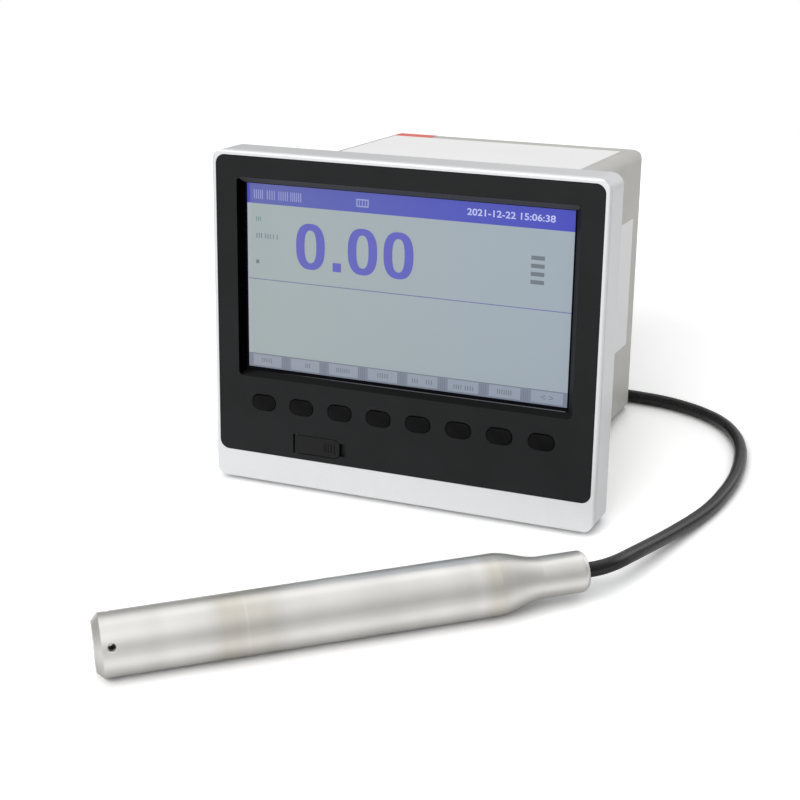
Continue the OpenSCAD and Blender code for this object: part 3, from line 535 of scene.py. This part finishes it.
def boxes_on_screen(name, material, lift, boxes):
    """Flat boxes on the screen, each (x0, x1, z0, z1)."""
    vertices, faces = [], []
    for x0, x1, z0, z1 in boxes:
        n = len(vertices)
        vertices += [screen_point(x0, z0, lift), screen_point(x1, z0, lift),
                     screen_point(x1, z1, lift), screen_point(x0, z1, lift)]
        faces.append((n, n + 1, n + 2, n + 3))
    mesh_piece(name, vertices, faces, material)


def oval(xc, zc, w, h):
    """Outline of a heavy figure nought: an oval with squared shoulders."""
    squareness, steps = 2.5, 48
    points = []
    for i in range(steps):
        a = 2 * math.pi * i / steps
        c, s = math.cos(a), math.sin(a)
        points.append((xc + w / 2 * math.copysign(abs(c) ** (2 / squareness), c),
                       zc + h / 2 * math.copysign(abs(s) ** (2 / squareness), s)))
    return points


def big_reading(name, material, lift):
    """The reading 0.00 in heavy figures: three noughts and a point."""
    noughts_x, noughts_z = (31.35, 56.95, 74.3), 59.3
    x0, x1, z0, z1 = 42.4, 46.5, 49.1, 53.1
    vertices, faces = [], []
    for xc in noughts_x:
        outer = oval(xc, noughts_z, 14.3, 20.9)
        inner = oval(xc, noughts_z, 5.9, 14.9)
        n = len(vertices)
        count = len(outer)
        vertices += [screen_point(x, z, lift) for x, z in outer + inner]
        for i in range(count):
            j = (i + 1) % count
            faces.append((n + i, n + j, n + count + j, n + count + i))
    n = len(vertices)
    for x, z in ((x0, z0), (x1, z0), (x1, z1), (x0, z1)):
        vertices.append(screen_point(x, z, lift))
    faces.append((n, n + 1, n + 2, n + 3))
    mesh_piece(name, vertices, faces, material)


def signs_on_screen(name, signs, x, z, height, width, material, lift, weight=0.0):
    """Plain figures and signs, fitted to a height and a width on the screen."""
    data = bpy.data.curves.new(name + "_line", "FONT")
    data.body = signs
    data.size = 1
    data.offset = weight
    line = bpy.data.objects.new(name + "_line", data)
    SCENE.collection.objects.link(line)
    bpy.context.view_layer.update()
    graph = bpy.context.evaluated_depsgraph_get()
    mesh = bpy.data.meshes.new_from_object(line.evaluated_get(graph))
    bpy.data.objects.remove(line)
    low = Vector((min(v.co.x for v in mesh.vertices), min(v.co.y for v in mesh.vertices)))
    high = Vector((max(v.co.x for v in mesh.vertices), max(v.co.y for v in mesh.vertices)))
    for v in mesh.vertices:
        u = (v.co.x - low.x) / (high.x - low.x) * width
        w = (v.co.y - low.y) / (high.y - low.y) * height
        v.co = screen_point(x + u, z + w, lift)
    mesh.materials.clear()
    mesh.materials.append(material)
    add_piece(name, mesh)


PAPER = screen_film("screen_grey", (0.325, 0.380, 0.380), (0.315, 0.370, 0.425))
GLOW = screen_film("screen_side_glow", (0.36, 0.385, 0.43))
BLUE = screen_film("screen_blue", (0.112, 0.127, 0.37), (0.056, 0.066, 0.46))
DEEP = screen_film("screen_blue_edge", (0.060, 0.060, 0.42))
INK = screen_film("screen_figures", (0.115, 0.120, 0.42), (0.100, 0.105, 0.47))
LINE = screen_film("screen_line", (0.15, 0.16, 0.30), (0.11, 0.12, 0.38))
STRIP = screen_film("screen_strip", (0.195, 0.215, 0.265), (0.185, 0.22, 0.29))
BUTTON = screen_film("screen_button", (0.27, 0.30, 0.355), (0.265, 0.31, 0.385))
EDGE = screen_film("screen_edge", (0.145, 0.16, 0.20))
WORD = screen_film("screen_words", (0.15, 0.165, 0.20))
GREY = screen_film("screen_bars", (0.145, 0.175, 0.20))
SIGN = screen_film("screen_sign", (0.13, 0.26, 0.23))
FAINT = screen_film("screen_faint", (0.28, 0.31, 0.55))
PALE = screen_film("screen_pale", (0.46, 0.49, 0.80))

# Edges of the page, of the title bar over it and of the strip of keys below
LEFT, RIGHT, FOOT, TOP = -0.4, 154.1, 0.35, 85.9
TITLE_FOOT = 76.9
STRIP_TOP = 6.9

# Left and right edge of each drawn key on the strip
SOFT_KEY_PITCH = 19.4
SOFT_KEYS = [(1.9 + SOFT_KEY_PITCH * i, 16.8 + SOFT_KEY_PITCH * i) for i in range(8)]

# Strokes of the plain signs
STROKE = 0.45
STROKE_PITCH = 0.95


def hollow(x0, x1, z0, z1, t):
    """Four boxes that outline a rectangle."""
    return [(x0, x1, z0, z0 + t), (x0, x1, z1 - t, z1),
            (x0, x0 + t, z0 + t, z1 - t), (x1 - t, x1, z0 + t, z1 - t)]


def bars(z0, z1, *sides):
    """Upright bars of one height, each (x0, x1)."""
    return [(x0, x1, z0, z1) for x0, x1 in sides]


def hatched(*places):
    """Even upright strokes that fill rectangles, as small plain signs."""
    boxes = []
    for x0, x1, z0, z1 in places:
        count = max(2, round((x1 - x0) / STROKE_PITCH))
        step = (x1 - x0 - STROKE) / (count - 1)
        boxes += [(x0 + i * step, x0 + i * step + STROKE, z0, z1) for i in range(count)]
    return boxes


def lines_between_keys():
    """Three thin upright lines in each gap between two drawn keys."""
    starts = [right + 0.9 + STROKE_PITCH * i for _, right in SOFT_KEYS[:-1] for i in range(3)]
    return [(x, x + 0.25, 0.5, 6.3) for x in starts]


# Each layer: name, material, lift over the page in millimetres, boxes
PICTURE = (
    ("screen_page", PAPER, 0, [(LEFT, RIGHT, FOOT, TOP)]),
    ("screen_side_glow", GLOW, 0.01, [(LEFT, 1.5, STRIP_TOP, TITLE_FOOT)]),
    ("screen_title_bar", BLUE, 0.02, [(1.0, RIGHT, TITLE_FOOT, TOP)]),
    ("screen_title_edge", DEEP, 0.02, [(LEFT, 1.0, TITLE_FOOT, TOP)]),
    ("screen_rule", LINE, 0.02, [(0, RIGHT, 41.95, 42.3)]),
    ("screen_key_strip", STRIP, 0.02, [(LEFT, RIGHT, FOOT, STRIP_TOP)]),
    ("screen_level_bars", GREY, 0.02,
     [(135.4, 141.5, z, z + 1.8) for z in (63.5, 60.0, 56.5, 53.0)]),
    ("screen_marks", SIGN, 0.02, hatched((4.0, 6.4, 68.9, 70.9))),
    ("screen_mark_grey", GREY, 0.02, [(3.8, 5.4, 49.3, 51.0)]),
    ("screen_channel", WORD, 0.02,
     hatched((4.1, 6.9, 61.1, 63.4), (8.4, 11.5, 61.1, 63.4))
     + bars(61.1, 63.4, (12.5, 12.9), (14.4, 14.8))),
    ("screen_key_lines", EDGE, 0.03,
     lines_between_keys() + [(LEFT, RIGHT, 6.65, STRIP_TOP)]),
    ("screen_key_shadows", EDGE, 0.035, [(x0 + 0.3, x1, 0.75, 6.2) for x0, x1 in SOFT_KEYS]),
    ("screen_keys", BUTTON, 0.045, [(x0, x1 - 0.3, 1.0, 6.4) for x0, x1 in SOFT_KEYS]),
    ("screen_key_words", WORD, 0.055,
     hatched((6.4, 11.4, 2.9, 4.8), (28.7, 31.1, 2.8, 4.8), (44.4, 51.0, 2.8, 4.8),
             (64.9, 69.9, 2.8, 4.9), (81.7, 84.5, 2.4, 4.4), (88.5, 91.3, 2.5, 4.6),
             (101.7, 105.4, 2.3, 4.3), (107.0, 111.0, 2.3, 4.3), (122.1, 128.7, 2.6, 4.8))),
    ("screen_title", FAINT, 0.03,
     hatched(*bars(79.0, 83.1, (3.0, 7.6), (9.6, 13.6), (15.4, 20.2), (21.4, 26.8)))),
    ("screen_icon", FAINT, 0.03,
     hollow(53.8, 59.8, 79.3, 82.9, 0.6)
     + bars(79.9, 82.3, (55.2, 55.6), (56.6, 57.0), (58.0, 58.4))),
)
for layer in PICTURE:
    boxes_on_screen(*layer)
big_reading("screen_reading", INK, 0.04)
signs_on_screen("screen_clock", "2021-12-22 15:06:38", 105.9, 80.1, 3.0, 39.6, PALE, 0.04, 0.018)
signs_on_screen("screen_arrows", "< >", 142.2, 2.7, 2.0, 5.6, EDGE, 0.055)


def edge_highlight_line():
    """Polished metal strip on the inner edge of the slope below the picture: a painted highlight
    that stands in for the light this edge catches. It gets wider from left to right."""
    edge_y, edge_z, slope = 2.95, SCREEN_Z - 1.20, 1.15
    vertices = []
    for x, width in ((18.0, 0.02), (34.0, 0.14), (60.0, 0.26), (153.6, 0.30)):
        vertices += [disp(SCREEN_X + x, edge_y - d * slope, edge_z - d) for d in (0, width)]
    faces = [(n, n + 1, n + 3, n + 2) for n in (0, 2, 4)]
    mesh_piece("window_edge_line", vertices, faces, EDGE_HIGHLIGHT)


edge_highlight_line()


# Studio

# Half width of the floor, and the reach of the contact shadow painted into its colour, in metres
FLOOR_REACH = 0.75
PAINTED_CONTACT_REACH = 0.009

# How pale the floor is: in view, at a contact, where a contact shadow is painted, and as the
# object mirrors it, with painted shade right beside the probe and well in front of it
FLOOR_WHITE = 1.30
FLOOR_PAINTED_CONTACT = 0.97
FLOOR_MIRRORED = 0.95
FLOOR_BESIDE_SHADE = 0.45
FLOOR_AHEAD_SHADE = 0.6

# Distances from the probe's axis, in millimetres, over which the painted shade in the mirrored
# floor sets in
BESIDE = (9, 20)
AHEAD = (36, 48)

# Light tent: its strength near the horizon and overhead, and its shares to the left and right
HORIZON = 0.65
OVERHEAD = 0.93
LEFT_SHADE = 0.3
RIGHT_SHADE = 0.5


def add_floor():
    """Pale table top, whiter where the camera looks at it, with the object's shadow, a painted
    contact shadow, and painted shade in what the object mirrors of it.
    """
    m = Nodes("floor")
    broad = m.vary(m.noise(3, 2), 0, 1)
    m.to(m.mix(broad, (0.86, 0.86, 0.86), (0.88, 0.88, 0.88)), "Base Color")
    m.set(Roughness=0.9)
    path = m.new("ShaderNodeLightPath")
    seen = m.math("MAXIMUM", path.outputs["Is Camera Ray"], path.outputs["Is Transmission Ray"])
    # Painted shade in what the object mirrors: darker in a strip beside the probe and farther in
    # front of it.
    ahead = m.along(NOSE, (AXIS[1], -AXIS[0], 0))
    beside = m.math("ABSOLUTE", ahead, 0)
    mirrored = m.math("MINIMUM", m.span(ahead, *AHEAD, FLOOR_MIRRORED, FLOOR_AHEAD_SHADE),
                      m.span(beside, *BESIDE, FLOOR_BESIDE_SHADE, FLOOR_MIRRORED))
    # Painted shadow: the floor's colour darkens where the object comes within a few millimetres of
    # it.
    painted_contact = m.new("ShaderNodeAmbientOcclusion", samples=8)
    painted_contact.inputs["Distance"].default_value = PAINTED_CONTACT_REACH
    white = m.span(painted_contact.outputs["AO"], 0.25, 0.85, FLOOR_PAINTED_CONTACT, FLOOR_WHITE)
    shown = m.new("ShaderNodeBsdfDiffuse")
    m.link(m.mix(seen, mirrored, white), shown.inputs["Color"])
    both = m.new("ShaderNodeMixShader")
    m.link(m.math("MAXIMUM", seen, path.outputs["Is Glossy Ray"]), both.inputs[0])
    m.link(m.shader.outputs[0], both.inputs[1])
    m.link(shown.outputs[0], both.inputs[2])
    m.link(both.outputs[0], m.tree.nodes["Material Output"].inputs["Surface"])
    r = FLOOR_REACH
    data = bpy.data.meshes.new("floor")
    data.from_pydata([(-r, -r, 0), (r, -r, 0), (r, r, 0), (-r, r, 0)], [], [(0, 1, 2, 3)])
    data.materials.append(m.material)
    floor = bpy.data.objects.new("floor", data)
    SCENE.collection.objects.link(floor)


def add_world():
    """A light tent: dim near the horizon and to the sides, bright overhead, white where the camera
    sees it."""
    world = bpy.data.worlds.new("studio")
    world.use_nodes = True
    nodes, links = world.node_tree.nodes, world.node_tree.links
    back = nodes["Background"]
    back.inputs["Color"].default_value = (1, 1, 1, 1)
    where = nodes.new("ShaderNodeTexCoord")
    parts = nodes.new("ShaderNodeSeparateXYZ")
    links.new(where.outputs["Generated"], parts.inputs[0])

    def span(source, *values):
        node = nodes.new("ShaderNodeMapRange")
        node.interpolation_type = "SMOOTHSTEP"
        for key, value in zip(("From Min", "From Max", "To Min", "To Max"), values):
            node.inputs[key].default_value = value
        links.new(source, node.inputs["Value"])
        return node.outputs["Result"]

    def math_node(kind, a, b):
        node = nodes.new("ShaderNodeMath")
        node.operation = kind
        links.new(a, node.inputs[0])
        links.new(b, node.inputs[1])
        return node.outputs[0]

    sides = math_node("MULTIPLY", span(parts.outputs["X"], -0.50, -0.10, LEFT_SHADE, 1.0),
                      span(parts.outputs["X"], 0.30, 0.80, 1.0, RIGHT_SHADE))
    rise = span(parts.outputs["Z"], 0.20, 0.80, HORIZON, OVERHEAD)
    path = nodes.new("ShaderNodeLightPath")
    level = nodes.new("ShaderNodeMix")
    links.new(math_node("MAXIMUM", path.outputs["Is Camera Ray"],
                        path.outputs["Is Transmission Ray"]), level.inputs[0])
    links.new(math_node("MULTIPLY", rise, sides), level.inputs[2])
    level.inputs[3].default_value = 1.0
    links.new(level.outputs[0], back.inputs["Strength"])
    SCENE.world = world


def add_light(name, place, target, size, power):
    """Rectangular lamp that faces a target, with its size in metres and its power in watts."""
    data = bpy.data.lights.new(name, "AREA")
    data.shape = "RECTANGLE"
    data.size, data.size_y = size
    data.energy = power
    lamp = bpy.data.objects.new(name, data)
    lamp.location = place
    lamp.rotation_euler = (Vector(target) - Vector(place)).to_track_quat("-Z", "Y").to_euler()
    SCENE.collection.objects.link(lamp)


add_floor()
add_world()
add_light("top_light", (-0.2, 0.7, 1.5), (0, 0, 0), (1.4, 1.2), 2.4)
add_light("key_light", (-0.35, -1.4, 1.0), (0, 0, 0.05), (1.3, 1.2), 19)
add_light("left_light", (-1.15, -0.2, 1.5), (0, 0, 0.05), (0.8, 1.0), 1.0)
add_light("right_light", (0.8, 1.0, 0.55), (0.05, 0.05, 0.05), (0.9, 0.5), 1.7)
SCENE.view_settings.view_transform = "Standard"
